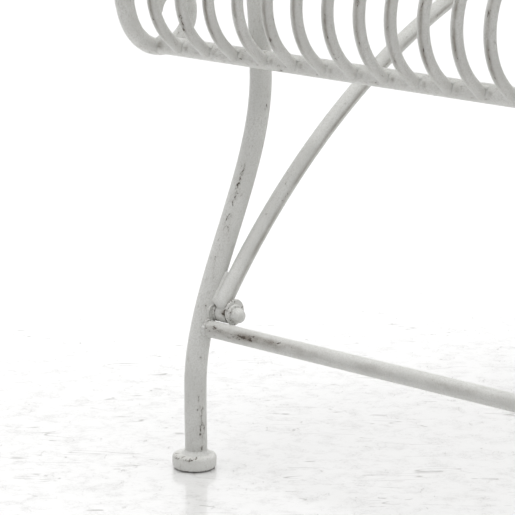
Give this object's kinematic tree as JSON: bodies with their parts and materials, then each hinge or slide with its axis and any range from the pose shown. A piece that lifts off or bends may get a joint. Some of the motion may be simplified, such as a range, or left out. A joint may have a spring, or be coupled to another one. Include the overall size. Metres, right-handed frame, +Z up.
{
  "type": "daybed",
  "caption": "Slatted steel daybed: rod seat rolled over both long edges, scrolled end tubes, low hooped ends, S-curved legs on disc feet, low stretchers and arched bolted braces.",
  "frame": {"origin": "on the floor under the middle of the daybed", "axes": "+X along the daybed, +Y from the front long edge toward the rear one, +Z up"},
  "size_m": [1.8878, 0.8798, 0.7668],
  "materials": {
    "frame_paint": "matt antique white with rubbed-through brown specks",
    "hardware_paint": "matt antique white, more worn"
  },
  "bodies": {
    "root": {"front_rail": "frame_paint", "rear_rail": "frame_paint", "front_beam": "frame_paint", "rear_beam": "frame_paint", "centre_beam": "frame_paint", "front_stretcher": "frame_paint", "rear_stretcher": "frame_paint", "left_end_tube": "frame_paint", "right_end_tube": "frame_paint", "left_hoop": "frame_paint", "right_hoop": "frame_paint", "left_spindles": "frame_paint", "right_spindles": "frame_paint", "left_hanger": "frame_paint", "right_hanger": "frame_paint", "seat_panel_01": "frame_paint", "seat_panel_02": "frame_paint", "seat_panel_03": "frame_paint", "seat_panel_04": "frame_paint", "seat_panel_05": "frame_paint", "seat_panel_06": "frame_paint", "seat_panel_07": "frame_paint", "seat_panel_08": "frame_paint", "seat_panel_09": "frame_paint", "seat_panel_10": "frame_paint", "seat_panel_11": "frame_paint", "front_left_leg": "frame_paint", "front_left_brace": "frame_paint", "front_right_leg": "frame_paint", "front_right_brace": "frame_paint", "rear_left_leg": "frame_paint", "rear_left_brace": "frame_paint", "rear_right_leg": "frame_paint", "rear_right_brace": "frame_paint", "front_left_foot": "hardware_paint", "front_left_knee_boss": "hardware_paint", "front_left_knee_stud": "hardware_paint", "front_left_knee_washer": "hardware_paint", "front_left_cap_nut": "hardware_paint", "front_left_brace_rivet": "hardware_paint", "front_right_foot": "hardware_paint", "front_right_knee_boss": "hardware_paint", "front_right_knee_stud": "hardware_paint", "front_right_knee_washer": "hardware_paint", "front_right_cap_nut": "hardware_paint", "front_right_brace_rivet": "hardware_paint", "rear_left_foot": "hardware_paint", "rear_left_knee_boss": "hardware_paint", "rear_left_knee_stud": "hardware_paint", "rear_left_knee_washer": "hardware_paint", "rear_left_cap_nut": "hardware_paint", "rear_left_brace_rivet": "hardware_paint", "rear_right_foot": "hardware_paint", "rear_right_knee_boss": "hardware_paint", "rear_right_knee_stud": "hardware_paint", "rear_right_knee_washer": "hardware_paint", "rear_right_cap_nut": "hardware_paint", "rear_right_brace_rivet": "hardware_paint"}
  },
  "joints": []
}
